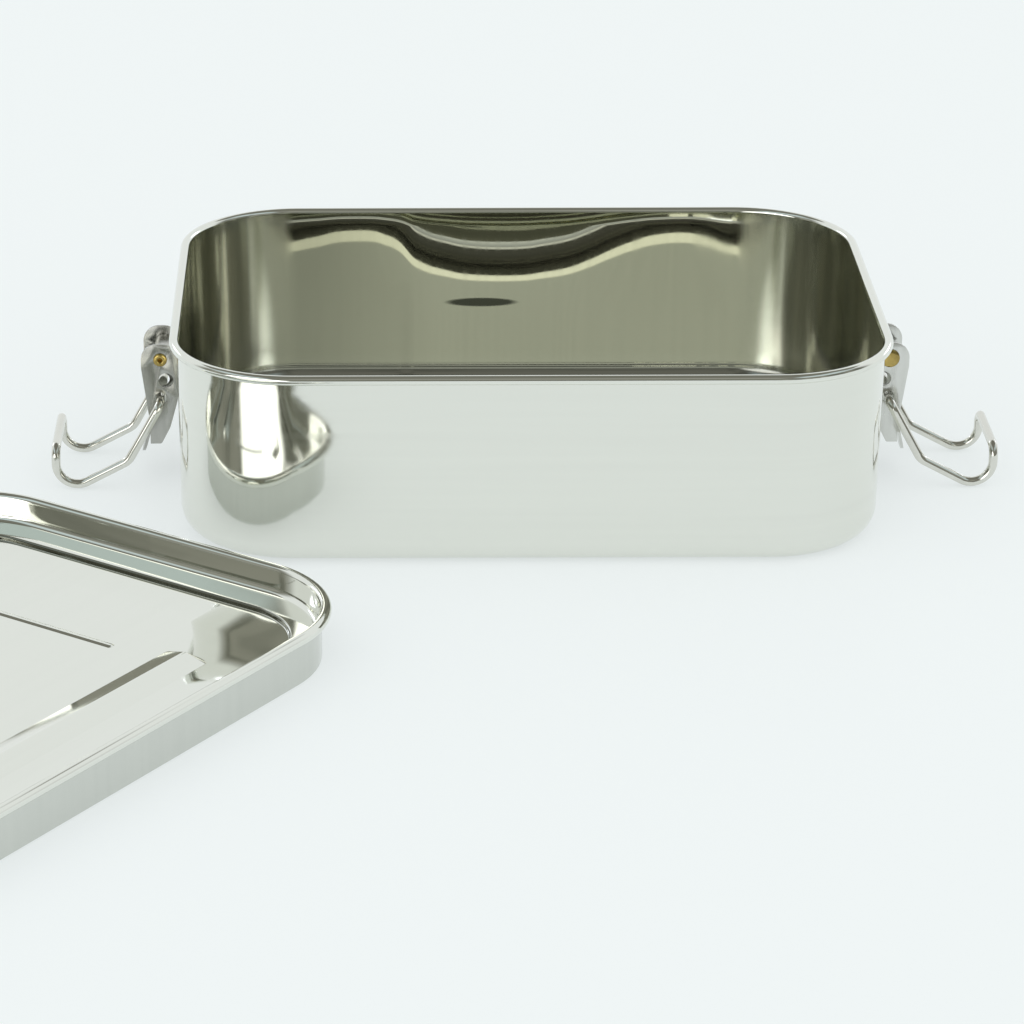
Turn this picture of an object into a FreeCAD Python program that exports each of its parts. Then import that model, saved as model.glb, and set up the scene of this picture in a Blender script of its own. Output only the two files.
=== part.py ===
import FreeCAD, Part
import math
import os

os.makedirs("parts", exist_ok=True)
V = FreeCAD.Vector

# The box stands on its base at z = 0, its middle at the origin, its long side along X, its front at -Y.
# Sizes are in millimetres and degrees. Sheet sections are drawn by inset from the rim's outermost line.

# Tub: a deep-drawn sheet box with an outward curled rim
rim_length = 200.0
rim_width = 150.0
rim_corner_radius = 34.5
tub_height = 56.0
tub_sheet = 0.6
tub_curl_diameter = 2.7
tub_base_radius = 7.0
wall_draft = 0.6
base_plate_margin = 2.0

# Lid: a pressed pan that plugs into the tub and hangs on its own curled rim
lid_height = 14.9
lid_sheet = 0.5
lid_setback = 0.4
plug_clearance = 0.3
ledge_height = 6.0
ledge_width = 7.4
ledge_fall = 1.2
ledge_foot_radius = 2.0
step_depth = 1.3
step_run = 0.3
step_top_radius = 0.8
step_foot_radius = 0.4
dish_run = 6.5
dish_depth = 1.2
dish_radius = 66.0
panel_margin = 13.0
curl_opening_turn = 285.0

# Stiffening ribs pressed into the lid's panel
rib_width = 13.0
rib_height = 1.7
rib_crest_width = 0.8
rib_crest_radius = 1.2
long_rib_length = 117.0
long_rib_offset = 42.4
short_rib_length = 54.0
short_rib_offset = 44.3

# Where the lid lies beside the tub, flat on the same table, one short side towards the tub's corner
lid_turn = 54.85
lid_gap = 20.0
lid_side_shift = 36.9

# Latch: its pivot measured out and down from the tub's rim, its holes from the pivot
pivot_standoff = 4.3
pivot_below_rim = 19.0
bail_drop = 11.8
spare_hole_drop = 6.2
spare_hole_shift = 1.6
lever_width = 17.0
lever_sheet = 0.8
running_clearance = 0.05
side_clearance = 0.15

# Lever outline, measured from the pivot: outwards from the box and down
ear_rise = 4.6
ear_outward = 5.5
ear_inward = 5.0
ear_waist_inward = 2.6
ear_waist_drop = 20.5
web_start_drop = 2.5
web_waist_outward = 3.2
web_waist_drop = 19.5
ear_foot_drop = 25.6
tab_outward = 6.0
tab_drop = 30.2
tab_corner_radius = 8.0
tab_flare_radius = 9.0
spare_hole_diameter = 4.3
bail_hole_diameter = 3.7

# Rivet: a tubular shank with a flat head on one side and a rolled end on the other
rivet_shank_diameter = 2.6
rivet_head_diameter = 5.4
rivet_head_thickness = 0.8
rivet_roll_diameter = 3.9
rivet_roll_thickness = 0.6
rivet_bore_diameter = 1.2
rivet_bore_depth = 3.0

# Bracket: a welded strap rolled into the knuckle that carries the rivet
strap_sheet = 0.9
knuckle_sheet = 0.75
strap_length = 16.0
strap_corner_radius = 1.2

# Bail: one bent wire, lying open with its hook bend on the table
wire_diameter = 2.6
bail_spacing = 28.4
bail_end_gap = 12.0
bail_reach = 30.2
hook_radius = 6.1
crossbar_height = 11.9
arm_slope = 61.0
reach_slope = 28.0
elbow_radius = 5.0
eye_bend_radius = 2.6
crossbar_bend_radius = 3.2

tiny = 1e-6


def place(point):
    """A point of a side view (x, z) set up in the XZ plane."""
    return V(point[0], 0, point[1])


def corner_arc(before, corner, after, radius):
    """Start, middle and stop of the arc that rounds a corner; all three are the corner if it stays sharp."""
    if radius < tiny:
        return corner, corner, corner
    back = (before - corner).normalize()
    ahead = (after - corner).normalize()
    half_angle = back.getAngle(ahead) / 2
    setback = radius / math.tan(half_angle)
    centre = corner + (back + ahead).normalize() * (radius / math.sin(half_angle))
    middle = centre + (corner - centre).normalize() * radius
    return corner + back * setback, middle, corner + ahead * setback


def chain(arcs, closed):
    """A wire of straight runs joined by the given corner arcs."""
    edges = []
    last = len(arcs) - 1
    for index, (start, middle, stop) in enumerate(arcs):
        if (stop - start).Length > tiny:
            edges.append(Part.Arc(start, middle, stop).toShape())
        if index == last and not closed:
            break
        following = arcs[(index + 1) % len(arcs)][0]
        if (following - stop).Length > tiny:
            edges.append(Part.makeLine(stop, following))
    return Part.Wire(edges)


def rounded_face(points):
    """A face in the XZ plane from its corners, each (x, z) or (x, z, radius)."""
    count = len(points)
    arcs = []
    for index, point in enumerate(points):
        radius = point[2] if len(point) > 2 else 0
        before = place(points[index - 1])
        after = place(points[(index + 1) % count])
        arcs.append(corner_arc(before, place(point), after, radius))
    return Part.Face(chain(arcs, True))


def slab(points, y_from, y_to):
    """A side view thickened along Y."""
    solid = rounded_face(points).extrude(V(0, y_to - y_from, 0))
    solid.translate(V(0, y_from, 0))
    return solid


def bar(diameter, x, z, y_from, y_to):
    """A round bar along Y."""
    return Part.makeCylinder(diameter / 2, y_to - y_from, V(x, y_from, z), V(0, 1, 0))


def joined(solids):
    """One solid from pieces that share faces or overlap."""
    shape = solids[0].multiFuse(solids[1:]).removeSplitter()
    if len(shape.Solids) != 1:
        raise ValueError("the pieces of one part do not meet")
    return shape.Solids[0]


def swept_round(face, length, width, radius):
    """Carry a section round a rounded rectangle. The section's x is its distance from the corner's axis."""
    half_length = length / 2 - radius
    half_width = width / 2 - radius
    corners = [(half_length, half_width), (-half_length, half_width),
               (-half_length, -half_width), (half_length, -half_width)]
    upright = V(0, 0, 1)
    solids = []
    for quarter, (x, y) in enumerate(corners):
        axis = V(x, y, 0)
        section = face.copy()
        section.rotate(V(0, 0, 0), upright, 90 * quarter)
        section.translate(axis)
        solids.append(section.revolve(axis, upright, 90))
        section.rotate(axis, upright, 90)
        next_x, next_y = corners[(quarter + 1) % 4]
        solids.append(section.extrude(V(next_x - x, next_y - y, 0)))
    return solids


def rounded_plate(length, width, radius, z, thickness):
    """A flat plate with round corners."""
    corners = [(length / 2, width / 2, radius), (-length / 2, width / 2, radius),
               (-length / 2, -width / 2, radius), (length / 2, -width / 2, radius)]
    plate = rounded_face(corners).extrude(V(0, thickness, 0))
    plate.rotate(V(0, 0, 0), V(1, 0, 0), 90)
    plate.translate(V(0, 0, z))
    return plate


def curl_face(radius_to_axis, diameter, sheet, top):
    """The rolled edge's section: a ring of sheet that starts on the wall and turns over outwards."""
    outer = diameter / 2
    inner = outer - sheet
    centre = V(radius_to_axis - outer, 0, top - outer)

    def spot(radius, turn):
        angle = math.radians(turn)
        return centre + V(-radius * math.cos(angle), 0, radius * math.sin(angle))

    half_turn = curl_opening_turn / 2
    edges = [Part.Arc(spot(outer, 0), spot(outer, half_turn), spot(outer, curl_opening_turn)).toShape(),
             Part.makeLine(spot(outer, curl_opening_turn), spot(inner, curl_opening_turn)),
             Part.Arc(spot(inner, curl_opening_turn), spot(inner, half_turn), spot(inner, 0)).toShape(),
             Part.makeLine(spot(inner, 0), spot(outer, 0))]
    return Part.Face(Part.Wire(edges))


# Tub
draft_slope = math.tan(math.radians(wall_draft))
curl_middle = tub_height - tub_curl_diameter / 2


def wall_inset(z):
    """Inset of the tub wall's outer face at a height."""
    return tub_curl_diameter - tub_sheet + (curl_middle - z) * draft_slope


def tub_body():
    """Curled rim, drafted wall, round base corner and flat base, all one sheet."""
    radius = rim_corner_radius
    plate_inset = wall_inset(0) + tub_base_radius + base_plate_margin
    section = [(wall_inset(curl_middle), curl_middle),
               (wall_inset(0), 0, tub_base_radius),
               (plate_inset, 0),
               (plate_inset, tub_sheet),
               (wall_inset(tub_sheet) + tub_sheet, tub_sheet, tub_base_radius - tub_sheet),
               (tub_curl_diameter, curl_middle)]
    wall = rounded_face([(radius - point[0],) + tuple(point[1:]) for point in section])
    curl = curl_face(radius, tub_curl_diameter, tub_sheet, tub_height)
    plate = rounded_plate(rim_length - 2 * plate_inset, rim_width - 2 * plate_inset,
                          radius - plate_inset, 0, tub_sheet)
    solids = swept_round(wall, rim_length, rim_width, radius)
    solids += swept_round(curl, rim_length, rim_width, radius)
    return joined(solids + [plate])


# Lid
lid_length = rim_length - 2 * lid_setback
lid_width = rim_width - 2 * lid_setback
lid_corner_radius = rim_corner_radius - lid_setback
lid_wall_inset = tub_curl_diameter - lid_setback + plug_clearance
lid_curl_diameter = lid_wall_inset + lid_sheet
panel_height = ledge_height - step_depth
panel_floor = panel_height - dish_depth
rib_slope = math.atan2(rib_height, (rib_width - rib_crest_width) / 2)


def rib(length, top, foot):
    """A round-ended ridge along X with a rounded crest and plane flanks, from a foot height up to its top."""
    run = (length - rib_width) / 2
    crest = rib_crest_width / 2 - (panel_floor + rib_height - top) * math.tan(rib_slope / 2)
    reach = crest + (top - foot) / math.tan(rib_slope)
    half = rounded_face([(0, foot), (reach, foot), (crest, top, rib_crest_radius), (0, top)])
    ends = []
    for side in (1, -1):
        end = half.copy()
        end.rotate(V(0, 0, 0), V(0, 0, 1), -90 * side)
        end.translate(V(side * run, 0, 0))
        ends.append(end.revolve(V(side * run, 0, 0), V(0, 0, 1), 180))
    whole = [(-reach, foot), (-crest, top, rib_crest_radius), (crest, top, rib_crest_radius), (reach, foot)]
    body = slab(whole, -run, run)
    body.rotate(V(0, 0, 0), V(0, 0, 1), 90)
    return body.multiFuse(ends).removeSplitter()


def rib_set(top, foot):
    """Two long ribs beside the long sides and two short ones beside the short sides."""
    ribs = []
    for side in (-1, 1):
        along = rib(long_rib_length, top, foot)
        along.translate(V(0, side * long_rib_offset, 0))
        across = rib(short_rib_length, top, foot)
        across.rotate(V(0, 0, 0), V(0, 0, 1), 90)
        across.translate(V(side * short_rib_offset, 0, 0))
        ribs += [along, across]
    return ribs


def lid_place():
    """The lid's middle: its short side stays one gap away from the tub's round corner."""
    cosine = math.cos(math.radians(lid_turn))
    sine = math.sin(math.radians(lid_turn))
    corner = rim_corner_radius
    tub_reach = (rim_length / 2 - corner) * cosine + (rim_width / 2 - corner) * sine + corner
    away = tub_reach + lid_gap + lid_length / 2
    return V(-away * cosine - lid_side_shift * sine, -away * sine + lid_side_shift * cosine, 0)


def lid_pan():
    """Curled rim, plug wall folded double below the ledge, ledge, step and a dished, ribbed panel."""
    radius = lid_corner_radius
    sheet = lid_sheet
    curl_centre = lid_height - lid_curl_diameter / 2
    fold_inset = lid_wall_inset + 2 * sheet
    step_inset = fold_inset + ledge_width
    panel_inset = step_inset + step_run
    plate_inset = panel_inset + panel_margin
    ledge_slope = math.atan2(ledge_fall, step_inset - lid_curl_diameter)
    step_slope = math.atan2(step_depth, step_run)
    dish_slope = math.atan2(dish_depth, dish_run)
    dish_inset = panel_inset + dish_run

    def under(inset, z, slope_before, slope_after):
        """The underside's corner below a bend of the top face, one sheet thickness away from both runs."""
        lean = (slope_before + slope_after) / 2
        away = sheet / math.cos((slope_after - slope_before) / 2)
        return inset - away * math.sin(lean), z - away * math.cos(lean)

    fold_rise = (step_inset - fold_inset) * math.tan(ledge_slope)
    fold_top = ledge_height + fold_rise - sheet / math.cos(ledge_slope)
    section = [(lid_wall_inset, curl_centre),
               (lid_wall_inset, 0, sheet),
               (fold_inset, 0, sheet),
               (fold_inset, fold_top),
               under(step_inset, ledge_height, ledge_slope, step_slope) + (step_top_radius - sheet,),
               under(panel_inset, panel_height, step_slope, dish_slope) + (step_foot_radius + sheet,),
               under(dish_inset, panel_floor, dish_slope, 0) + (dish_radius + sheet,),
               (plate_inset, panel_floor - sheet),
               (plate_inset, panel_floor),
               (dish_inset, panel_floor, dish_radius),
               (panel_inset, panel_height, step_foot_radius),
               (step_inset, ledge_height, step_top_radius),
               (lid_curl_diameter, ledge_height + ledge_fall, ledge_foot_radius),
               (lid_curl_diameter, curl_centre)]
    wall = rounded_face([(radius - point[0],) + tuple(point[1:]) for point in section])
    curl = curl_face(radius, lid_curl_diameter, sheet, lid_height)
    plate = rounded_plate(lid_length - 2 * plate_inset, lid_width - 2 * plate_inset,
                          radius - plate_inset, panel_floor - sheet, sheet)
    raised = rib_set(panel_floor + rib_height, panel_floor - sheet / 4)
    hollows = rib_set(panel_floor + rib_height - sheet / math.cos(rib_slope), panel_floor - 2 * sheet)
    plate = plate.multiFuse(raised).cut(Part.makeCompound(hollows)).removeSplitter().Solids[0]
    solids = swept_round(wall, lid_length, lid_width, radius)
    solids += swept_round(curl, lid_length, lid_width, radius)
    lid = joined(solids + [plate])
    lid.rotate(V(0, 0, 0), V(0, 0, 1), lid_turn)
    lid.translate(lid_place())
    return lid


# Latch, drawn for the left end, where outwards is -X
pivot_reach = rim_length / 2 + pivot_standoff
pivot_height = tub_height - pivot_below_rim
ear_face = lever_width / 2
channel_width = lever_width - 2 * lever_sheet
knuckle_length = channel_width - 2 * side_clearance
knuckle_bore = rivet_shank_diameter + 2 * running_clearance
knuckle_diameter = knuckle_bore + 2 * knuckle_sheet
bail_height = pivot_height - bail_drop


def lever_point(outward, drop, radius=0):
    """A point of the lever's side view, measured from its pivot."""
    return (-pivot_reach - outward, pivot_height - drop, radius)


def latch_bracket():
    """Strap flat on the end wall, bent out level at the top and rolled round the rivet."""
    knuckle_top = pivot_height + knuckle_diameter / 2
    strap_foot = pivot_height - strap_length

    def wall_x(z):
        return -rim_length / 2 + wall_inset(z)

    strap = [(wall_x(strap_foot), strap_foot),
             (wall_x(knuckle_top), knuckle_top),
             (-pivot_reach, knuckle_top),
             (-pivot_reach, knuckle_top - knuckle_sheet),
             (wall_x(knuckle_top) - strap_sheet, knuckle_top - knuckle_sheet, strap_corner_radius),
             (wall_x(strap_foot) - strap_sheet, strap_foot)]
    half = knuckle_length / 2
    roll = bar(knuckle_diameter, -pivot_reach, pivot_height, -half, half)
    bore = bar(knuckle_bore, -pivot_reach, pivot_height, -half, half)
    return slab(strap, -half, half).fuse(roll).cut(bore).removeSplitter().Solids[0]


def latch_lever():
    """Folded channel: two ears on the rivet, an outer web, and a thumb tab that flares outwards."""
    ear = [lever_point(-ear_inward, -ear_rise, ear_rise),
           lever_point(ear_outward, -ear_rise, ear_rise),
           lever_point(ear_outward, web_start_drop),
           lever_point(web_waist_outward, web_waist_drop),
           lever_point(web_waist_outward, ear_foot_drop),
           lever_point(0, ear_foot_drop, lever_sheet),
           lever_point(-ear_waist_inward, ear_waist_drop, tab_flare_radius),
           lever_point(-ear_inward, bail_drop, tab_flare_radius)]
    web_slope = math.atan2(ear_outward - web_waist_outward, web_waist_drop - web_start_drop)
    tab_slope = math.atan2(tab_outward - web_waist_outward, tab_drop - web_waist_drop)
    waist_shift = lever_sheet * math.tan((web_slope - tab_slope) / 2 + tab_slope)
    inner_radius = tab_flare_radius + lever_sheet
    web = [lever_point(ear_outward, web_start_drop),
           lever_point(web_waist_outward, web_waist_drop, tab_flare_radius),
           lever_point(tab_outward, tab_drop),
           lever_point(tab_outward - lever_sheet, tab_drop),
           lever_point(web_waist_outward - lever_sheet, web_waist_drop + waist_shift, inner_radius),
           lever_point(ear_outward - lever_sheet, web_start_drop)]
    tab_low = pivot_height - tab_drop
    tab_high = pivot_height + ear_rise
    front_view = [(-ear_face, tab_low, tab_corner_radius), (ear_face, tab_low, tab_corner_radius),
                  (ear_face, tab_high), (-ear_face, tab_high)]
    mask = rounded_face(front_view).extrude(V(0, 2 * pivot_reach, 0))
    mask.rotate(V(0, 0, 0), V(0, 0, 1), 90)
    pieces = [slab(web, -ear_face, ear_face).common(mask)]
    for side in (-1, 1):
        faces = sorted((side * ear_face, side * (ear_face - lever_sheet)))
        pieces.append(slab(ear, faces[0], faces[1]))
    lever = joined(pieces)
    holes = [(knuckle_bore, 0, 0), (spare_hole_diameter, -spare_hole_shift, spare_hole_drop),
             (bail_hole_diameter, 0, bail_drop)]
    for diameter, outward, drop in holes:
        x, z, _ = lever_point(outward, drop)
        lever = lever.cut(bar(diameter, x, z, -lever_width, lever_width))
    return lever.Solids[0]


def latch_rivet():
    """Pivot pin through both ears and the knuckle, its rolled end at the front and its head behind."""
    x, z, _ = lever_point(0, 0)
    front = -ear_face - running_clearance
    back = ear_face + running_clearance
    front_end = front - rivet_roll_thickness
    shank = bar(rivet_shank_diameter, x, z, front_end, back + rivet_head_thickness)
    roll = bar(rivet_roll_diameter, x, z, front_end, front)
    head = bar(rivet_head_diameter, x, z, back, back + rivet_head_thickness)
    bore = bar(rivet_bore_diameter, x, z, front_end, front_end + rivet_bore_depth)
    return joined([shank, roll, head]).cut(bore).Solids[0]


def latch_bail():
    """Wire loop: ends turned into the ears, two cranked arms, hook bends and a crossbar."""
    wire_radius = wire_diameter / 2
    half_spacing = bail_spacing / 2
    half_gap = bail_end_gap / 2
    eye = (-pivot_reach, bail_height)
    hook_x = -pivot_reach - bail_reach
    arm = (-math.cos(math.radians(arm_slope)), -math.sin(math.radians(arm_slope)))
    run = (-math.cos(math.radians(reach_slope)), -math.sin(math.radians(reach_slope)))
    # The reach run is tangent to the hook bend, whose lowest point lies on the table
    tangent_x = hook_x + hook_radius - hook_radius * run[1]
    tangent_z = wire_radius + hook_radius + hook_radius * run[0]
    across = arm[0] * run[1] - arm[1] * run[0]
    share = ((tangent_x - eye[0]) * run[1] - (tangent_z - eye[1]) * run[0]) / across
    elbow = (eye[0] + share * arm[0], eye[1] + share * arm[1])
    corner_z = tangent_z + (hook_x - tangent_x) * run[1] / run[0]
    half = [(eye, half_gap, 0), (eye, half_spacing, eye_bend_radius), (elbow, half_spacing, elbow_radius),
            ((hook_x, corner_z), half_spacing, hook_radius),
            ((hook_x, crossbar_height), half_spacing, crossbar_bend_radius)]
    front = [(V(spot[0], -y, spot[1]), radius) for spot, y, radius in half]
    back = [(V(spot[0], y, spot[1]), radius) for spot, y, radius in reversed(half)]
    route = front + back
    arcs = []
    for index, (point, radius) in enumerate(route):
        before = route[max(index - 1, 0)][0]
        after = route[min(index + 1, len(route) - 1)][0]
        arcs.append(corner_arc(before, point, after, radius))
    path = chain(arcs, False)
    section = Part.Wire(Part.makeCircle(wire_radius, route[0][0], V(0, 1, 0)))
    return path.makePipeShell([section], True, False).Solids[0], path.Length


def turned(shape):
    """The same piece at the right end: half a turn about the box's upright middle."""
    copy = shape.copy()
    copy.rotate(V(0, 0, 0), V(0, 0, 1), 180)
    return copy


bail, bail_length = latch_bail()
pieces = {"box_tub": tub_body(), "lid": lid_pan()}
latch_pieces = {"latch_bracket": latch_bracket(), "latch_lever": latch_lever(),
                "latch_rivet": latch_rivet(), "wire_bail": bail}
for name, shape in latch_pieces.items():
    pieces["left_" + name] = shape
    pieces["right_" + name] = turned(shape)

for name, shape in pieces.items():
    shape.exportStep("parts/" + name + ".step")
    print(name, "solids", len(shape.Solids), "valid", shape.isValid(), "volume", round(shape.Volume, 1))
print("bail wire volume over section times length",
      round(bail.Volume / (math.pi * wire_diameter ** 2 / 4 * bail_length), 4))
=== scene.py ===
import math

import bpy
from mathutils import Matrix, Vector


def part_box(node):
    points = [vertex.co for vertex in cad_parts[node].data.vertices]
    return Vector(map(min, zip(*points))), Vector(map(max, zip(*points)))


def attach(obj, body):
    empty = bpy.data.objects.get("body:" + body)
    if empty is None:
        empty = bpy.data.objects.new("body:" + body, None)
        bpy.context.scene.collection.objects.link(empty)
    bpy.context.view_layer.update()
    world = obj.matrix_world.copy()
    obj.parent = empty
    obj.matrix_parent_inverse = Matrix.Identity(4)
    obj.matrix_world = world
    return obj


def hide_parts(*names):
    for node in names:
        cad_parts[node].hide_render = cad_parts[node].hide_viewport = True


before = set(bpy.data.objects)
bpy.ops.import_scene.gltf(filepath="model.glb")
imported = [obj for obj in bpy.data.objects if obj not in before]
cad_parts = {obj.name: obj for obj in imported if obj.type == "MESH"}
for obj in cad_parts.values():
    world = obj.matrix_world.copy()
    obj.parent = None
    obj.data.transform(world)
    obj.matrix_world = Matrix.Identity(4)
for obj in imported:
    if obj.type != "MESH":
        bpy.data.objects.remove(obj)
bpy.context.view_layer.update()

# Tub: one sheet of stainless steel, deep drawn into a rounded box and polished to a mirror.
# Its top edge is rolled outwards into a curl, and it stands on its flat base.
mm = 0.001
rim_length = 200.0 * mm
rim_width = 150.0 * mm
rim_corner = 34.5 * mm
tub_height = 56.0 * mm
tub_sheet = 0.6 * mm
tub_curl = 2.7 * mm
tub_base_radius = 6.4 * mm
wall_draft = math.tan(math.radians(0.6))
wall_rows = 12
base_margin = 2.0 * mm
curl_turn = math.radians(285)
merge_distance = 0.001 * mm
edge_slack = 0.01 * mm
sheet_smoothing = math.radians(14)


def round_corners(corners, arc_step=math.radians(7)):
    """A section's points (inset, height) from its corners, each rounded by its own radius."""
    points = []
    for number, corner in enumerate(corners):
        here = Vector(corner[:2])
        radius = corner[2] if len(corner) > 2 else 0
        if radius == 0:
            points.append(here)
            continue
        back = (Vector(corners[number - 1][:2]) - here).normalized()
        ahead = (Vector(corners[number + 1][:2]) - here).normalized()
        half = back.angle(ahead) / 2
        centre = here + (back + ahead).normalized() * radius / math.sin(half)
        start = here + back * radius / math.tan(half) - centre
        turn = math.pi - 2 * half
        if back.x * ahead.y - back.y * ahead.x > 0:
            turn = -turn
        count = max(2, round(abs(turn) / arc_step), round(abs(turn) * radius / mm))
        for step in range(count + 1):
            points.append(centre + Matrix.Rotation(turn * step / count, 2) @ start)
    return points


def arc_points(centre, radius, start, stop, count):
    """Points round a circle, angles measured from inwards towards up."""
    angles = [start + (stop - start) * step / count for step in range(count + 1)]
    return [Vector((centre[0] + radius * math.cos(angle), centre[1] + radius * math.sin(angle))) for angle in angles]


def draw_chain(points):
    """Start a new mesh in edit mode as a chain of edges drawn out from one vertex, in the XZ plane."""
    bpy.ops.object.select_all(action="DESELECT")
    bpy.ops.mesh.primitive_plane_add(size=mm)
    bpy.ops.object.mode_set(mode="EDIT")
    bpy.ops.mesh.select_mode(type="VERT")
    bpy.ops.mesh.merge(type="CENTER")
    bpy.ops.transform.translate(value=(points[0][0], 0, points[0][1]))
    for near, far in zip(points, points[1:]):
        bpy.ops.mesh.extrude_region_move(
            TRANSFORM_OT_translate={"value": (far[0] - near[0], 0, far[1] - near[1])})
    bpy.ops.mesh.select_all(action="SELECT")


def carry_round(half_length, half_width, corner_steps, long_steps, short_steps):
    """Spin the selected chain round four corners and draw it along the sides between them."""
    centres = [(half_length, half_width), (-half_length, half_width),
               (-half_length, -half_width), (half_length, -half_width)]
    bpy.ops.transform.translate(value=(half_length, half_width, 0))
    for number, (x, y) in enumerate(centres):
        bpy.ops.mesh.spin(steps=corner_steps, angle=-math.pi / 2, center=(x, y, 0), axis=(0, 0, 1))
        next_x, next_y = centres[(number + 1) % 4]
        steps = long_steps if number % 2 == 0 else short_steps
        for step in range(steps):
            bpy.ops.mesh.extrude_region_move(
                TRANSFORM_OT_translate={"value": ((next_x - x) / steps, (next_y - y) / steps, 0)})
    bpy.ops.mesh.select_all(action="SELECT")
    bpy.ops.mesh.remove_doubles(threshold=merge_distance)
    bpy.ops.mesh.normals_make_consistent(inside=False)


def select_where(mesh_object, kind, test):
    """Select the vertices that pass the test, or the edges whose two ends do."""
    bpy.ops.mesh.select_mode(type=kind)
    bpy.ops.mesh.select_all(action="DESELECT")
    bpy.ops.object.mode_set(mode="OBJECT")
    mesh = mesh_object.data
    if kind == "EDGE":
        for edge in mesh.edges:
            edge.select = all(test(mesh.vertices[end].co) for end in edge.vertices)
    else:
        for vertex in mesh.vertices:
            vertex.select = test(vertex.co)
    bpy.ops.object.mode_set(mode="EDIT")


curl_middle = tub_height - tub_curl / 2
foot_inset = tub_curl + (curl_middle - tub_sheet) * wall_draft
plate_inset = foot_inset + tub_base_radius + base_margin
section = round_corners([(plate_inset, tub_sheet), (foot_inset, tub_sheet, tub_base_radius), (tub_curl, curl_middle)])
wall_top = section.pop()
wall_foot = section[-1]
section += [wall_foot.lerp(wall_top, row / wall_rows) for row in range(1, wall_rows)]
section += arc_points((tub_curl / 2, curl_middle), tub_curl / 2, 0, curl_turn, 36)
draw_chain([(rim_corner - inset, height) for inset, height in section])
tub = bpy.context.object
tub.name = "polished_tub"
carry_round(rim_length / 2 - rim_corner, rim_width / 2 - rim_corner, corner_steps=20, long_steps=24, short_steps=16)
base_reach = (rim_length / 2 - plate_inset + edge_slack, rim_width / 2 - plate_inset + edge_slack)
select_where(tub, "EDGE", lambda spot: abs(spot.z - tub_sheet) < edge_slack
             and abs(spot.x) < base_reach[0] and abs(spot.y) < base_reach[1])
bpy.ops.mesh.edge_face_add()
bpy.ops.object.mode_set(mode="OBJECT")


def finish_with(kind, **settings):
    """Add a modifier to the active object, set it and apply it."""
    bpy.ops.object.modifier_add(type=kind)
    modifier = bpy.context.object.modifiers[-1]
    for name, value in settings.items():
        setattr(modifier, name, value)
    bpy.ops.object.modifier_apply(modifier=modifier.name)


finish_with("SOLIDIFY", thickness=tub_sheet, offset=-1)
bpy.ops.object.shade_smooth_by_angle(angle=sheet_smoothing)


def new_group(name, inputs, outputs):
    """A shader node group with named value inputs and outputs."""
    group = bpy.data.node_groups.new(name, "ShaderNodeTree")
    for label, kind, start in inputs:
        socket = group.interface.new_socket(label, in_out="INPUT", socket_type="NodeSocket" + kind)
        if start is not None:
            socket.default_value = start
    for label, kind in outputs:
        group.interface.new_socket(label, in_out="OUTPUT", socket_type="NodeSocket" + kind)
    return group, group.nodes.new("NodeGroupInput"), group.nodes.new("NodeGroupOutput")


def add_node(tree, kind, links=(), **settings):
    """A node with its settings, fed by (socket name or number, source socket or plain value) pairs."""
    node = tree.nodes.new("ShaderNode" + kind)
    for name, value in settings.items():
        setattr(node, name, value)
    for socket, source in links:
        if isinstance(source, bpy.types.NodeSocket):
            tree.links.new(source, node.inputs[socket])
        else:
            node.inputs[socket].default_value = source
    return node


def calculate(tree, operation, *values, clamp=False):
    """One Math node on sockets or plain values."""
    return add_node(tree, "Math", list(enumerate(values)), operation=operation, use_clamp=clamp).outputs[0]


def soft_step(tree, source, start, stop, most=1.0):
    """A soft step from 0 to its most as a value goes from start to stop."""
    return add_node(tree, "MapRange", [("Value", source), ("From Min", start), ("From Max", stop), ("To Max", most)],
                    interpolation_type="SMOOTHSTEP").outputs[0]


def lay_over(tree, mask, below, above):
    """One colour laid over another where the mask is."""
    return add_node(tree, "Mix", [("Factor", mask), ("A", below), ("B", above)], data_type="RGBA").outputs["Result"]


# Cold-rolled and polished sheet: broad shallow waves, a finer unevenness, and polishing lines that
# run along one direction and dull the shine a little.
sheet_polish, given, put_out = new_group(
    "sheet_polish",
    [("Vector", "Vector", None), ("Lines", "Vector", (1, 1, 1)), ("Wave height", "Float", 0.0002),
     ("Dimple height", "Float", 0.00001), ("Dull", "Float", 0.05), ("Shine", "Float", 0.04)],
    [("Height", "Float"), ("Roughness", "Float"), ("Lines", "Float")])
waves = add_node(sheet_polish, "TexNoise", [("Vector", given.outputs["Vector"]), ("Scale", 11.0), ("Detail", 0.0)])
dimples = add_node(sheet_polish, "TexNoise", [("Vector", given.outputs["Vector"]), ("Scale", 75.0), ("Detail", 1.0)])
along = add_node(sheet_polish, "VectorMath", [(0, given.outputs["Vector"]), (1, given.outputs["Lines"])],
                 operation="MULTIPLY")
lines = add_node(sheet_polish, "TexNoise", [("Vector", along.outputs[0]), ("Scale", 1.0), ("Detail", 3.0)])
wave_part = calculate(sheet_polish, "MULTIPLY", waves.outputs[0], given.outputs["Wave height"])
height = calculate(sheet_polish, "MULTIPLY_ADD", dimples.outputs[0], given.outputs["Dimple height"], wave_part)
line_mask = add_node(sheet_polish, "MapRange", [("Value", lines.outputs[0]), ("From Min", 0.35), ("From Max", 0.75)])
dulled = calculate(sheet_polish, "MULTIPLY_ADD", line_mask.outputs[0], given.outputs["Dull"], given.outputs["Shine"])
sheet_polish.links.new(height, put_out.inputs["Height"])
sheet_polish.links.new(dulled, put_out.inputs["Roughness"])
sheet_polish.links.new(line_mask.outputs[0], put_out.inputs["Lines"])


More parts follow.
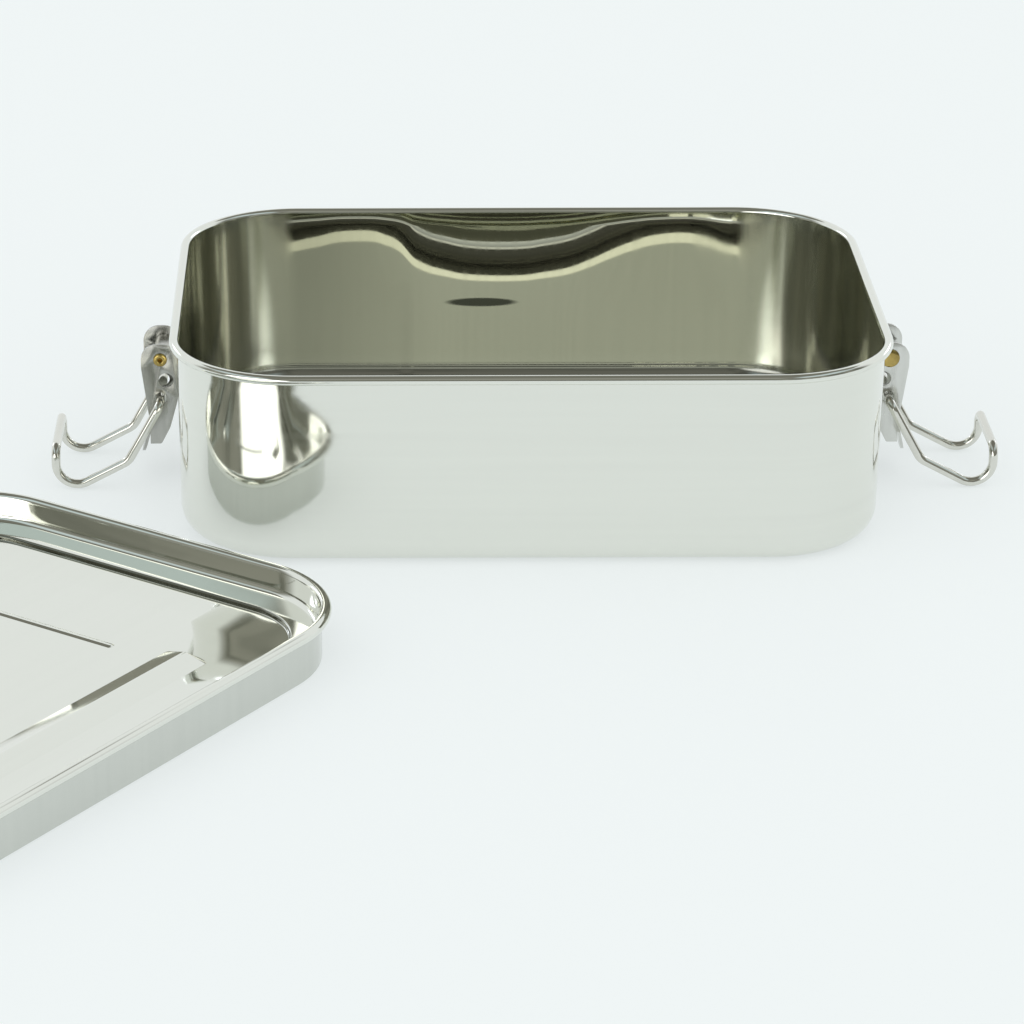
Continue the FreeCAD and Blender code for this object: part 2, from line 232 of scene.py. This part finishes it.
def sheet_metal(name, colour, lines, wave, dimple, dull, shine, turn=0.0, streak=0.97):
    """Worked metal; its polishing lines are given as their density along X, Y and Z and darken it by a streak."""
    material = bpy.data.materials.new(name)
    material.use_nodes = True
    tree = material.node_tree
    shader = tree.nodes["Principled BSDF"]
    place = add_node(tree, "TexCoord")
    mapped = add_node(tree, "Mapping", [("Vector", place.outputs["Object"]), ("Rotation", (0, 0, turn))])
    polish = add_node(tree, "Group", node_tree=sheet_polish)
    for label, value in (("Lines", lines), ("Wave height", wave), ("Dimple height", dimple), ("Dull", dull),
                         ("Shine", shine)):
        polish.inputs[label].default_value = value
    tree.links.new(mapped.outputs[0], polish.inputs["Vector"])
    bump = add_node(tree, "Bump", [("Height", polish.outputs["Height"]), ("Distance", 1.0), ("Strength", 1.0)],
                    name="polish_bump")
    tree.links.new(polish.outputs["Roughness"], shader.inputs["Roughness"])
    tree.links.new(bump.outputs[0], shader.inputs["Normal"])
    streaked = [part * streak for part in colour]
    tint = lay_over(tree, polish.outputs["Lines"], (*colour, 1), (*streaked, 1))
    tree.links.new(tint, shader.inputs["Base Color"])
    shader.inputs["Metallic"].default_value = 1
    return material


def rework(tree, socket, change):
    """Feed a socket with what the change makes of its present source."""
    tree.links.new(change(socket.links[0].from_socket), socket)


inside_steel = sheet_metal("tub_inside_steel", (0.67, 0.675, 0.595), lines=(500, 500, 8), wave=0.0003,
                           dimple=0.000003, dull=0.025, shine=0.015)
inside = inside_steel.node_tree
inside_shader = inside.nodes["Principled BSDF"]
spot = add_node(inside, "SeparateXYZ", [(0, add_node(inside, "TexCoord").outputs["Object"])]).outputs
wall_facing = tub.data.attributes.new("wall_facing", "FLOAT", "POINT")
for vertex, value in zip(tub.data.vertices, wall_facing.data):
    value.value = vertex.normal.y
facing = add_node(inside, "Attribute", attribute_name="wall_facing").outputs["Fac"]
on_far_wall = soft_step(inside, facing, -0.25, -0.6)

# Drawing leaves the long walls uneven. The far one leans in and out along its length, turning about a line
# 40 mm up, and the near one bends softly into the base.
lean_turn_height = 40.0 * mm
lean_reach = 15.0 * mm
lean_easing = 14.0 * mm
most_lean = 2.3
leans = [(-84, -0.7), (-71.1, -1.2), (-60.4, -1.72), (-47.6, -2.1), (-38.8, -1.75), (-29.4, -0.05), (-21.5, 0.62),
         (-9.6, 1.07), (1.6, 1.07), (8.6, 0.85), (14.7, 0.6), (22.6, -0.03), (29.6, -0.75), (36.6, -1.35),
         (43.6, -1.75), (50.6, -1.86), (57.6, -1.68), (64.6, -1.2), (71.0, -0.9), (84.0, -0.5)]
lean = add_node(inside, "FloatCurve",
                [("Value", calculate(inside, "MULTIPLY_ADD", spot["X"], 1 / rim_length, 0.5))])
curve = lean.mapping.curves[0]
curve.points[0].location = (0.0, 0.5)
curve.points[1].location = (1.0, 0.5)
for x, degrees in leans:
    curve.points.new(0.5 + x * mm / rim_length, 0.5 + degrees / (2 * most_lean))
lean.mapping.update()
slope = calculate(inside, "MULTIPLY_ADD", lean.outputs[0], -2 * math.radians(most_lean), math.radians(most_lean))
from_turn = calculate(inside, "SMOOTH_MAX", calculate(inside, "SUBTRACT", spot["Z"], lean_turn_height),
                      -lean_reach, lean_easing)
far_lean = calculate(inside, "MULTIPLY", calculate(inside, "MULTIPLY", slope, from_turn), on_far_wall)
bend_height = 21.8 * mm
bend_depth = 9.0
below_bend = calculate(inside, "SUBTRACT", bend_height, spot["Z"], clamp=True)
bend = calculate(inside, "MULTIPLY", calculate(inside, "MULTIPLY", below_bend, below_bend), bend_depth)
near_bend = calculate(inside, "MULTIPLY", bend, calculate(inside, "GREATER_THAN", facing, 0.3))
uneven = calculate(inside, "ADD", far_lean, near_bend)
rework(inside, inside.nodes["polish_bump"].inputs["Height"],
       lambda polished: calculate(inside, "ADD", uneven, polished))

# Painted shade darkens the left end and the bend round the base, and a small dark painted reflection lies on the far
# wall.
left_end_painted_shade = soft_step(inside, spot["X"], -20 * mm, -75 * mm, 0.38)
base_bend_painted_shade = calculate(inside, "MULTIPLY", soft_step(inside, spot["Z"], 1.0 * mm, 2.2 * mm),
                     soft_step(inside, spot["Z"], 7.5 * mm, 5.0 * mm))
# The small dark patch on the far wall is a painted reflection.
reflection_patch_place = (-9.9 * mm, 26.3 * mm)
reflection_patch_half_size = (10.8 * mm, 1.4 * mm)
reflection_patch_x, reflection_patch_z = [
    calculate(inside, "MULTIPLY", calculate(inside, "SUBTRACT", spot[axis], middle), 1 / half_size)
    for axis, middle, half_size in zip("XZ", reflection_patch_place, reflection_patch_half_size)]
reflection_patch_reach = calculate(inside, "MULTIPLY_ADD", reflection_patch_x, reflection_patch_x, calculate(inside, "MULTIPLY", reflection_patch_z, reflection_patch_z))
painted_reflection_patch = calculate(inside, "MULTIPLY", soft_step(inside, reflection_patch_reach, 1.25, 0.6), on_far_wall)
# Each tint below is painted: shade at the left end and in the base bend, and a dark reflection on the far wall.
for mask, tint in ((left_end_painted_shade, (0.40, 0.405, 0.355, 1)), (base_bend_painted_shade, (0.33, 0.335, 0.3, 1)),
                   (painted_reflection_patch, (0.10, 0.105, 0.09, 1))):
    rework(inside, inside_shader.inputs["Base Color"], lambda below: lay_over(inside, mask, below, tint))

# The round corners, which the drawing stretched most, are polished less than the walls.
corner_dullness = 0.13
in_corner = [soft_step(inside, calculate(inside, "ABSOLUTE", spot[axis]), start * mm, stop * mm)
             for axis, start, stop in (("X", 66, 71), ("Y", 44, 54))]
in_corner = calculate(inside, "MULTIPLY", *in_corner)
rework(inside, inside_shader.inputs["Roughness"],
       lambda shine: calculate(inside, "MULTIPLY_ADD", in_corner, corner_dullness, shine))

outside_steel = sheet_metal("tub_outside_steel", (0.79, 0.80, 0.745), lines=(9, 9, 420), wave=0.00035,
                            dimple=0.000004, dull=0.05, shine=0.05, streak=0.985)
tub.data.materials.append(inside_steel)
tub.data.materials.append(outside_steel)
for face in tub.data.polygons:
    outward = face.normal.x * face.center.x + face.normal.y * face.center.y > 0.1 * mm
    if outward or face.normal.z < -0.3 or face.center.z > curl_middle:
        face.material_index = 1
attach(tub, "tub")
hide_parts("box_tub")

# Lid: a second drawn and polished sheet, a shallow pan that plugs into the tub and hangs on its own curl.
# Its wall is folded double below a sloping ledge, and four low ribs are pressed into the sunk panel.
lid_length = 199.2 * mm
lid_width = 149.2 * mm
lid_corner = 34.1 * mm
lid_height = 14.9 * mm
lid_sheet = 0.5 * mm
lid_wall = 2.6 * mm
lid_curl = lid_wall + lid_sheet
lid_turn = math.radians(54.85)
ledge_height = 6.0 * mm
ledge_fall = 1.2 * mm
ledge_foot = 2.0 * mm
fold_inset = lid_wall + 2 * lid_sheet
fold_round = 0.49 * mm
step_inset = fold_inset + 7.4 * mm
step_round = 0.8 * mm
panel_inset = step_inset + 0.1 * mm
panel_height = 4.7 * mm
panel_edge_round = 0.25 * mm
dish_inset = panel_inset + 6.5 * mm
dish_radius = 66.0 * mm
panel_floor = panel_height - 1.2 * mm
panel_rim = panel_inset + 13.0 * mm
under_slope = 0.42 * mm
under_ledge = ledge_height + 0.62 * mm
lid_curl_middle = lid_height - lid_curl / 2
top_side = round_corners([
    (panel_rim, panel_floor), (dish_inset, panel_floor, dish_radius), (panel_inset, panel_height, panel_edge_round),
    (step_inset, ledge_height, step_round), (lid_curl, ledge_height + ledge_fall, ledge_foot),
    (lid_curl, lid_curl_middle)])[:-1]
curl_out = arc_points((lid_curl / 2, lid_curl_middle), lid_curl / 2, 0, curl_turn, 36)
curl_back = arc_points((lid_curl / 2, lid_curl_middle), lid_curl / 2 - lid_sheet, curl_turn, 0, 30)[:-1]
under_side = round_corners([
    (lid_wall, lid_curl_middle), (lid_wall, 0, fold_round), (fold_inset, 0, fold_round),
    (fold_inset, under_ledge), (step_inset - under_slope, ledge_height - under_slope),
    (panel_inset - under_slope, panel_height - under_slope),
    (dish_inset, panel_floor - lid_sheet, dish_radius + lid_sheet), (panel_rim, panel_floor - lid_sheet)])
draw_chain([(lid_corner - inset, height) for inset, height in top_side + curl_out + curl_back + under_side])
lid = bpy.context.object
lid.name = "polished_lid"
carry_round(lid_length / 2 - lid_corner, lid_width / 2 - lid_corner, corner_steps=20, long_steps=20, short_steps=14)
bpy.ops.object.mode_set(mode="OBJECT")

# Half length, half width, height, crest radius and place of each rib in mm, and its turn in degrees. The two
# long ribs are roofs and the two short ones fine beads; the end caps are short and steep.
rib_places = [(58.8, 6.5, 1.7, 1.2, 0.0, 42.4, 90.0), (58.8, 6.5, 1.7, 1.2, 0.0, -42.4, 90.0),
              (22.5, 1.3, 0.38, 0.4, 51.3, 0.0, 0.0), (22.5, 1.3, 0.38, 0.4, -51.3, 0.0, 0.0)]
crest_half_width = 0.4 * mm
rib_hem = 0.5 * mm
foot_share = 0.8
cap_share = 0.4
rib_steps = 12
for half_length, half_width, rise, crest_radius, x, y, turn in rib_places:
    rib_top = panel_floor + rise * mm
    draw_chain(round_corners([
        (0, rib_top), (crest_half_width, rib_top, crest_radius * mm),
        (half_width * mm, panel_floor, foot_share * crest_radius * mm), (half_width * mm + rib_hem, panel_floor)],
        arc_step=math.radians(2.5)))
    rib = bpy.context.object
    run = (half_length - cap_share * half_width) * mm
    bpy.ops.transform.translate(value=(0, run, 0))
    for end in (1, -1):
        bpy.ops.mesh.spin(steps=24, angle=-math.pi, center=(0, end * run, 0), axis=(0, 0, 1))
        for step in range(rib_steps):
            bpy.ops.mesh.extrude_region_move(TRANSFORM_OT_translate={"value": (0, -end * 2 * run / rib_steps, 0)})
    for end in (1, -1):
        select_where(rib, "VERT", lambda corner: end * corner.y > run + merge_distance)
        bpy.ops.transform.resize(value=(1, cap_share, 1), center_override=(0, end * run, 0))
    bpy.ops.mesh.select_all(action="SELECT")
    bpy.ops.mesh.remove_doubles(threshold=merge_distance)
    bpy.ops.object.mode_set(mode="OBJECT")
    rib.rotation_euler = (0, 0, math.radians(turn))
    rib.location = (x * mm, y * mm, 0)
    lid.select_set(True)
    bpy.context.view_layer.objects.active = lid
    bpy.ops.object.join()


def select_open_edges():
    """Select the edges that have a face on one side only."""
    bpy.ops.mesh.select_all(action="DESELECT")
    bpy.ops.mesh.select_non_manifold(extend=False, use_wire=False, use_multi_face=False, use_non_contiguous=False,
                                     use_verts=False)


bpy.ops.object.mode_set(mode="EDIT")
bpy.ops.mesh.select_mode(type="EDGE")
select_open_edges()
bpy.ops.object.mode_set(mode="OBJECT")
for edge in lid.data.edges:
    on_top = all(lid.data.vertices[end].co.z > panel_floor - 0.1 * mm for end in edge.vertices)
    edge.select = edge.select and on_top
bpy.ops.object.mode_set(mode="EDIT")
bpy.ops.mesh.fill(use_beauty=True)
select_open_edges()
bpy.ops.mesh.edge_face_add()
bpy.ops.mesh.select_all(action="SELECT")
bpy.ops.mesh.normals_make_consistent(inside=False)
bpy.ops.object.mode_set(mode="OBJECT")
lid.rotation_euler = (0, 0, lid_turn)
cad_low, cad_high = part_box("lid")
lid_middle = Vector(((cad_low.x + cad_high.x) / 2, (cad_low.y + cad_high.y) / 2, 0))
lid.location = lid_middle
bpy.ops.object.transform_apply(location=True, rotation=True, scale=True)
bpy.ops.object.shade_smooth_by_angle(angle=sheet_smoothing)

lid_steel = sheet_metal("lid_steel", (0.79, 0.80, 0.745), lines=(9, 420, 420), wave=0.00035, dimple=0.000003,
                        dull=0.03, shine=0.035, turn=-lid_turn, streak=0.99)
pan = lid_steel.node_tree
from_middle = add_node(pan, "VectorMath", [(0, add_node(pan, "TexCoord").outputs["Object"]), (1, tuple(lid_middle))],
                       operation="SUBTRACT").outputs[0]
squared_up = add_node(pan, "Mapping", [("Vector", from_middle), ("Rotation", (0, 0, -lid_turn))]).outputs[0]
quarter = add_node(pan, "VectorMath", [(0, squared_up)], operation="ABSOLUTE").outputs[0]
lid_spot = add_node(pan, "SeparateXYZ", [(0, quarter)]).outputs

# The panel rises softly towards its four corners, where the drawing pulled the sheet up.
corner_rise = 1.6 * mm
rise_reach = 30 * mm
corner_place = (88 * mm, 58 * mm)
from_x, from_y = [
    calculate(pan, "MULTIPLY", calculate(pan, "SUBTRACT", lid_spot[axis], place), 1 / rise_reach)
    for axis, place in zip("XY", corner_place)]
from_corner = calculate(pan, "MULTIPLY_ADD", from_x, from_x, calculate(pan, "MULTIPLY", from_y, from_y))
rise = calculate(pan, "MULTIPLY", calculate(pan, "EXPONENT", calculate(pan, "MULTIPLY", from_corner, -1.0)),
                 corner_rise)
rework(pan, pan.nodes["polish_bump"].inputs["Height"], lambda polished: calculate(pan, "ADD", rise, polished))

# A dark band is painted into the tight step round the panel: painted shade.
above_panel = soft_step(pan, lid_spot["Z"], panel_height - 0.05 * mm, panel_height + 0.12 * mm)
below_ledge = soft_step(pan, lid_spot["Z"], ledge_height + 0.06 * mm, ledge_height - 0.1 * mm)
past_ribs = calculate(pan, "MAXIMUM", calculate(pan, "GREATER_THAN", lid_spot["X"], 62 * mm),
                      calculate(pan, "GREATER_THAN", lid_spot["Y"], 52 * mm))
step_painted_shade = calculate(pan, "MULTIPLY", calculate(pan, "MULTIPLY", above_panel, below_ledge), past_ribs)
rework(pan, pan.nodes["Principled BSDF"].inputs["Base Color"],
       lambda below: lay_over(pan, step_painted_shade, below, (0.22, 0.225, 0.19, 1)))

# The outer wall has a darker tint and a rougher finish than the pan.
darker_wall_steel = sheet_metal("lid_wall_steel", (0.64, 0.655, 0.615), lines=(300, 300, 12), wave=0.0002,
                           dimple=0.000004, dull=0.04, shine=0.11)
lid.data.materials.append(lid_steel)
lid.data.materials.append(darker_wall_steel)
for face in lid.data.polygons:
    outward = (face.center - lid_middle).to_2d().normalized().dot(face.normal.to_2d())
    if outward > 0.5 and face.center.z < lid_height - lid_curl:
        face.material_index = 1
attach(lid, "lid")
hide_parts("lid")

# Latch levers: 0.8 mm satin steel sheet, punched and folded into a channel whose two ears turn on the rivet.
# The folds are round, the cut edges are tumbled smooth, and the thumb tab flares out at the foot.
lever_face = 8.5 * mm
fold_top = 2.5 * mm
fold_length = 17.0 * mm
fold_out = 5.5 * mm
fold_taper = 2.3 * mm
fold_radius = 0.9 * mm
tumbled_edge = 0.12 * mm
rivet_low, rivet_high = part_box("left_latch_rivet")
pivot = (rivet_low + rivet_high) / 2
left_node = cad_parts["left_latch_lever"]
left_lever = bpy.data.objects.new("left_folded_lever", left_node.data.copy())
bpy.context.scene.collection.objects.link(left_lever)
left_lever.matrix_world = left_node.matrix_world
bpy.ops.object.select_all(action="DESELECT")
left_lever.select_set(True)
bpy.context.view_layer.objects.active = left_lever
bpy.ops.object.transform_apply(location=True, rotation=True, scale=True)
bpy.ops.mesh.customdata_custom_splitnormals_clear()
bpy.ops.object.mode_set(mode="EDIT")
bpy.ops.mesh.select_all(action="SELECT")
bpy.ops.mesh.remove_doubles(threshold=2 * merge_distance)
bpy.ops.mesh.dissolve_limited(angle_limit=math.radians(0.5))


def on_fold(corner):
    """Whether a corner lies on the line where an ear folds into the web."""
    outward = pivot.x - corner.x
    drop = pivot.z - corner.z - fold_top
    fold_line = fold_out - drop * fold_taper / fold_length
    return (abs(abs(corner.y) - lever_face) < 0.02 * mm and outward > fold_line - 0.2 * mm
            and -0.1 * mm < drop < fold_length + 0.1 * mm)


select_where(left_lever, "EDGE", on_fold)
bpy.ops.mesh.bevel(offset=fold_radius, offset_type="OFFSET", segments=6, affect="EDGES", clamp_overlap=True)
bpy.ops.object.mode_set(mode="OBJECT")
finish_with("BEVEL", width=tumbled_edge, segments=2, limit_method="ANGLE", angle_limit=math.radians(50))
bpy.ops.object.shade_smooth_by_angle(angle=math.radians(32))


def other_end(piece, name):
    """A copy with its own mesh, turned half round for the other end of the box."""
    twin = bpy.data.objects.new(name, piece.data.copy())
    bpy.context.scene.collection.objects.link(twin)
    bpy.ops.object.select_all(action="DESELECT")
    twin.select_set(True)
    bpy.context.view_layer.objects.active = twin
    twin.rotation_euler = (0, 0, math.pi)
    bpy.ops.object.transform_apply(location=True, rotation=True, scale=True)
    return twin


# The left lever's steel is tinted darker as painted shade, and the right one's lighter as painted light: two copies
# of one steel.
right_lever = other_end(left_lever, "right_folded_lever")
# Painted shade for the left lever and painted light for the right one.
shaded_lever_metal = sheet_metal("painted_shade_lever_steel", (0.46, 0.46, 0.43), lines=(500, 500, 60), wave=0.0001,
                          dimple=0.00001, dull=0.10, shine=0.20, streak=0.86)
lit_lever_metal = sheet_metal("painted_light_lever_steel", (0.68, 0.685, 0.655), lines=(500, 500, 60), wave=0.0001,
                           dimple=0.00001, dull=0.10, shine=0.20, streak=0.92)
for piece, side, metal in ((left_lever, "left", shaded_lever_metal), (right_lever, "right", lit_lever_metal)):
    piece.data.materials.clear()
    piece.data.materials.append(metal)
    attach(piece, side + "_lever")
    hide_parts(side + "_latch_lever")

# Latch rivets: turned brass pins, pushed through ears and knuckle. One end is hollow and rolled over,
# and the other is a low domed head. The outline gives radius and place along the pin in mm.
rivet_outline = [
    (0, 6.15), (0.6, 6.15), (0.6, 8.6), (0.64, 8.85), (0.8, 9.06), (1.1, 9.15), (1.5, 9.08), (1.8, 8.9), (1.95, 8.7),
    (1.9, 8.55), (1.3, 8.55), (1.3, -8.55), (2.6, -8.55), (2.7, -8.63), (2.7, -8.8), (2.6, -8.95), (2.3, -9.12),
    (1.7, -9.26), (0.9, -9.33), (0, -9.35)]
draw_chain([(radius * mm, height * mm) for radius, height in rivet_outline])
bpy.ops.mesh.spin(steps=32, angle=-2 * math.pi, center=(0, 0, 0), axis=(0, 0, 1))
bpy.ops.mesh.select_all(action="SELECT")
bpy.ops.mesh.remove_doubles(threshold=merge_distance)
bpy.ops.mesh.normals_make_consistent(inside=False)
bpy.ops.object.mode_set(mode="OBJECT")
left_rivet = bpy.context.object
left_rivet.name = "left_brass_rivet"
left_rivet.rotation_euler = (math.pi / 2, 0, 0)
left_rivet.location = (pivot.x, 0, pivot.z)
bpy.ops.object.transform_apply(location=True, rotation=True, scale=True)
bpy.ops.object.shade_smooth_by_angle(angle=math.radians(40))
rivet_brass = sheet_metal("rivet_brass", (0.56, 0.42, 0.14), lines=(260, 260, 260), wave=0.0001, dimple=0.00006,
                          dull=0.14, shine=0.16, streak=0.6)
left_rivet.data.materials.append(rivet_brass)
right_rivet = other_end(left_rivet, "right_brass_rivet")
for piece, side in ((left_rivet, "left"), (right_rivet, "right")):
    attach(piece, "tub")
    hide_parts(side + "_latch_rivet")

# Latch brackets and bails: each bracket is a strap welded on the end wall and rolled round the rivet, and
# each bail is one length of bright drawn wire, bent to a hook and sprung into the lever's ears.
bracket_steel = sheet_metal("bracket_steel", (0.58, 0.575, 0.54), lines=(60, 700, 700), wave=0.0001,
                            dimple=0.00002, dull=0.10, shine=0.14, streak=0.85)
bright_wire = sheet_metal("bright_wire", (0.74, 0.735, 0.68), lines=(240, 60, 240), wave=0.0001,
                          dimple=0.000008, dull=0.05, shine=0.08, streak=0.92)
for side in ("left", "right"):
    for piece, metal in (("_latch_bracket", bracket_steel), ("_wire_bail", bright_wire)):
        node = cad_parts[side + piece]
        node.data.materials.clear()
        node.data.materials.append(metal)

# Floor: a broad pale sheet of smooth board that the box and its lid stand on.
# The camera and the mirroring steel see it lit a little more evenly than it is.
floor_size = 6.0
floor_drop = 0.2 * mm
evened_share = 0.6
bpy.ops.object.select_all(action="DESELECT")
bpy.ops.mesh.primitive_plane_add(size=floor_size, location=(0, 0, -floor_drop))
floor = bpy.context.object
floor.name = "pale_floor"
bpy.ops.object.transform_apply(location=True, rotation=True, scale=True)
board = bpy.data.materials.new("pale_board")
board.use_nodes = True
sheet = board.node_tree
board_shader = sheet.nodes["Principled BSDF"]
board_shader.inputs["Base Color"].default_value = (0.93, 0.945, 0.945, 1)
board_shader.inputs["Roughness"].default_value = 0.45
board_shader.inputs["Specular IOR Level"].default_value = 0.25
ray = add_node(sheet, "LightPath").outputs
looked_at = calculate(sheet, "MAXIMUM", ray["Is Camera Ray"], ray["Is Glossy Ray"])
evened = add_node(sheet, "Emission", [("Color", (0.871, 0.922, 0.922, 1))])
mixed = add_node(sheet, "MixShader", [(0, calculate(sheet, "MULTIPLY", looked_at, evened_share)),
                                      (1, board_shader.outputs[0]), (2, evened.outputs[0])])
sheet.links.new(mixed.outputs[0], sheet.nodes["Material Output"].inputs["Surface"])
floor.data.materials.append(board)

# Studio: even pale light from all round for the floor. What the polished steel mirrors is a bright backdrop
# behind the box with a lamp at each side of it, a window at the left front, and a dim room elsewhere. A strip
# lamp above the backdrop shows only deep in the tub, after three mirrorings.
dim_room = (0.16, 0.165, 0.14, 1)
paler_room = (0.32, 0.32, 0.28, 1)
upper_room = (0.65, 0.745, 0.77, 1)
ceiling = (0.20, 0.20, 0.17, 1)
backdrop = (0.90, 0.93, 0.93, 1)
window_light = (2.2, 2.2, 2.15, 1)
window_way = (-0.559, -0.829, 0.0)
strip_light = (2.0, 2.0, 1.9, 1)
lamp_light = (5.6, 5.8, 6.6, 1)
lamp_ways = ((0.64, 0.766, 0.0), (-0.64, 0.766, 0.0))
even_light = (0.95, 0.985, 0.985)
world = bpy.data.worlds.new("studio")
bpy.context.scene.world = world
world.use_nodes = True
room = world.node_tree
direction = add_node(room, "TexCoord").outputs["Generated"]
across, along, upward = add_node(room, "SeparateXYZ", [(0, direction)]).outputs
ray = add_node(room, "LightPath").outputs


def both(first, second):
    """Where two parts of the room overlap."""
    return calculate(room, "MULTIPLY", first, second)


def toward(way):
    """How nearly a direction points one way."""
    return add_node(room, "VectorMath", [(0, direction), (1, way)], operation="DOT_PRODUCT").outputs["Value"]


behind = soft_step(room, along, -0.05, 0.25)
aside = soft_step(room, calculate(room, "ABSOLUTE", across), 0.25, 0.42)
stretched = add_node(room, "VectorMath", [(0, direction), (1, (1, 1, 0.15))], operation="MULTIPLY").outputs[0]
bands = add_node(room, "TexNoise", [("Vector", stretched), ("Scale", 5.0), ("Detail", 2.0)]).outputs[0]
deep = calculate(room, "GREATER_THAN", ray["Ray Depth"], 2.5)
strip = both(deep, both(soft_step(room, upward, 0.69, 0.72), soft_step(room, upward, 0.87, 0.83)))
window = both(soft_step(room, toward(window_way), 0.862, 0.887), soft_step(room, upward, 0.60, 0.52))
lamp_rows = both(soft_step(room, upward, 0.22, 0.28), soft_step(room, upward, 0.52, 0.46))
seen = lay_over(room, soft_step(room, bands, 0.35, 0.65), dim_room, paler_room)
for mask, light in [
        (both(soft_step(room, upward, 0.52, 0.64), aside), upper_room),
        (both(behind, soft_step(room, upward, 0.0, 0.01)), ceiling), (soft_step(room, upward, 0.80, 0.88), ceiling),
        (window, window_light), (both(behind, soft_step(room, upward, 0.73, 0.69)), backdrop),
        (both(behind, strip), strip_light)]:
    seen = lay_over(room, mask, seen, light)
for way in lamp_ways:
    seen = lay_over(room, both(soft_step(room, toward(way), 0.93, 0.96), lamp_rows), seen, lamp_light)
first_look = calculate(room, "LESS_THAN", ray["Diffuse Depth"], 0.5)
from_front = add_node(room, "MapRange", [("Value", along), ("From Min", 1.0), ("From Max", -1.0), ("To Min", 0.6),
                                         ("To Max", 1.4)]).outputs[0]
soft = add_node(room, "VectorMath", [(0, even_light), ("Scale", from_front)], operation="SCALE").outputs[0]
room.links.new(lay_over(room, both(ray["Is Glossy Ray"], first_look), soft, seen),
               room.nodes["Background"].inputs["Color"])

# Camera: a long lens about a metre away, where the photographer stood, as fitted to the outlines of rim and base.
# The picture is framed as a part of a wider one, so its middle is shifted.
image_side = 1024
focal_pixels = 3915.5
middle_pixel = 341.5
sensor_width = 36
camera_place = (-0.048719, -1.060809, 0.419269)
camera_pan = 0.0036874
camera_tilt = math.radians(90 - 22.1945)
camera_roll = -0.00397
camera_data = bpy.data.cameras.new("camera")
camera_data.sensor_width = sensor_width
camera_data.lens = focal_pixels / image_side * sensor_width
camera_data.shift_x = (image_side / 2 - middle_pixel) / image_side
camera_data.clip_end = 100
camera = bpy.data.objects.new("camera", camera_data)
bpy.context.scene.collection.objects.link(camera)
camera.matrix_world = (Matrix.Translation(camera_place) @ Matrix.Rotation(camera_pan, 4, "Z")
                       @ Matrix.Rotation(camera_tilt, 4, "X") @ Matrix.Rotation(camera_roll, 4, "Z"))
bpy.context.scene.camera = camera
# The tub mirrors itself many times over, so light is followed further than usual.
bpy.context.scene.cycles.glossy_bounces = 12
bpy.context.scene.view_settings.view_transform = "Standard"
